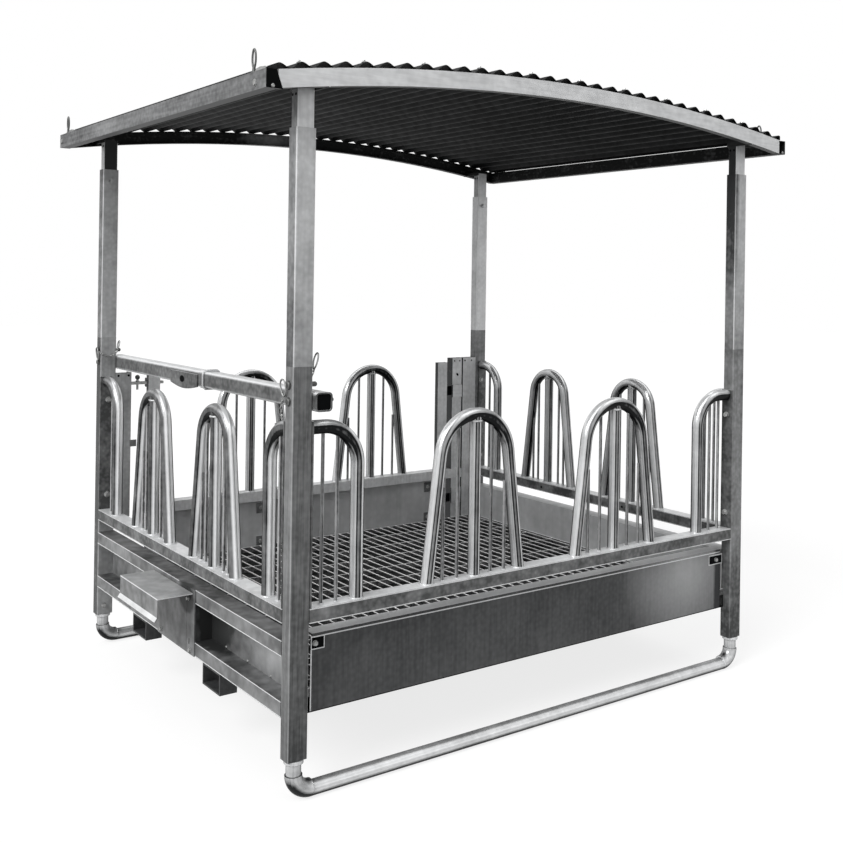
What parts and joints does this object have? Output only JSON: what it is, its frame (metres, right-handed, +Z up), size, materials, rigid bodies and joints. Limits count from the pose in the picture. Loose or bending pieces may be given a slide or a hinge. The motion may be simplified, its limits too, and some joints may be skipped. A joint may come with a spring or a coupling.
{
  "type": "square bale feeder",
  "caption": "Square bale feeder with feeding arches on every side, a latched gate, a step plate, a grated floor and a corrugated roof that telescopes in its corner posts.",
  "frame": {"origin": "on the ground, in the middle of the four corner posts", "axes": "+X to the right seen from the front, +Y to the rear where the gate is, +Z up"},
  "size_m": [2.444, 1.93, 2.3262],
  "materials": {
    "galvanised": "hot-dip galvanised steel",
    "galvanised_dark": "weathered galvanised sheet",
    "bright_tube": "bright galvanised tube",
    "roof_sheet": "coated corrugated steel",
    "black_steel": "dark steel",
    "zinc_bolt": "zinc plated steel"
  },
  "bodies": {
    "frame": {"arch_front_1": "bright_tube", "arch_front_2": "bright_tube", "arch_left_1": "bright_tube", "arch_left_2": "bright_tube", "arch_right_1": "bright_tube", "arch_right_2": "bright_tube", "base_left": "galvanised", "base_right": "galvanised", "floor_frame": "galvanised_dark", "floor_grating": "galvanised", "fork_shoe_left_front": "black_steel", "fork_shoe_left_rear": "black_steel", "fork_shoe_right_front": "black_steel", "fork_shoe_right_rear": "black_steel", "half_arch_front_1": "bright_tube", "half_arch_front_2": "bright_tube", "half_arch_left_1": "bright_tube", "half_arch_left_2": "bright_tube", "half_arch_right_1": "bright_tube", "half_arch_right_2": "bright_tube", "hinge_post": "galvanised", "panel_front": "galvanised_dark", "post_lower_front_left": "galvanised", "post_lower_front_right": "galvanised", "post_lower_rear_left": "galvanised", "post_lower_rear_right": "galvanised", "post_upper_front_left": "galvanised", "post_upper_front_right": "galvanised", "post_upper_rear_left": "galvanised", "post_upper_rear_right": "galvanised", "rail_front": "galvanised", "rail_left": "galvanised", "rail_right": "galvanised", "skid_front": "galvanised", "skid_rear": "galvanised", "step_plate": "galvanised", "top_bar": "galvanised"},
    "roof": {"lifting_eye_front_left": "zinc_bolt", "lifting_eye_front_right": "zinc_bolt", "lifting_eye_rear_left": "zinc_bolt", "lifting_eye_rear_right": "zinc_bolt", "roof_beam_front": "galvanised", "roof_beam_rear": "galvanised", "roof_eave_left": "galvanised", "roof_eave_right": "galvanised", "roof_leg_front_left": "bright_tube", "roof_leg_front_right": "bright_tube", "roof_leg_rear_left": "bright_tube", "roof_leg_rear_right": "bright_tube", "roof_sheet": "roof_sheet"},
    "gate": {"gate_frame": "galvanised", "gate_panel": "galvanised_dark", "arch_rear_1": "bright_tube", "arch_rear_2": "bright_tube"},
    "latch_bolt": {"latch_bolt": "zinc_bolt"},
    "drop_pin": {"drop_pin": "zinc_bolt"},
    "bar_pin_front": {"bar_pin_front": "zinc_bolt"},
    "bar_pin_rear": {"bar_pin_rear": "zinc_bolt"},
    "lock_pin_front": {"lock_pin_front": "zinc_bolt"},
    "lock_pin_rear": {"lock_pin_rear": "zinc_bolt"}
  },
  "joints": [
    {"name": "roof_height", "type": "slide", "parent": "frame", "child": "roof", "axis": [0, 0, 1], "range_m": [-0.07, 0.4]},
    {"name": "gate_swing", "type": "hinge", "parent": "frame", "child": "gate", "pos_m": [0.9145, 0.902, 0], "axis": [0, 0, -1], "range_deg": [0, 110]},
    {"name": "latch_slide", "type": "slide", "parent": "gate", "child": "latch_bolt", "axis": [-1, 0, 0], "range_m": [0, 0.02]},
    {"name": "drop_pin_lift", "type": "slide", "parent": "latch_bolt", "child": "drop_pin", "axis": [0, 0, 1], "range_m": [0, 0.05]},
    {"name": "bar_pin_front_pull", "type": "slide", "parent": "frame", "child": "bar_pin_front", "axis": [-1, 0, 0], "range_m": [0, 0.12]},
    {"name": "bar_pin_rear_pull", "type": "slide", "parent": "frame", "child": "bar_pin_rear", "axis": [-1, 0, 0], "range_m": [0, 0.12]},
    {"name": "lock_pin_front_pull", "type": "slide", "parent": "frame", "child": "lock_pin_front", "axis": [-1, 0, 0], "range_m": [0, 0.09]},
    {"name": "lock_pin_rear_pull", "type": "slide", "parent": "frame", "child": "lock_pin_rear", "axis": [-1, 0, 0], "range_m": [0, 0.09]}
  ]
}
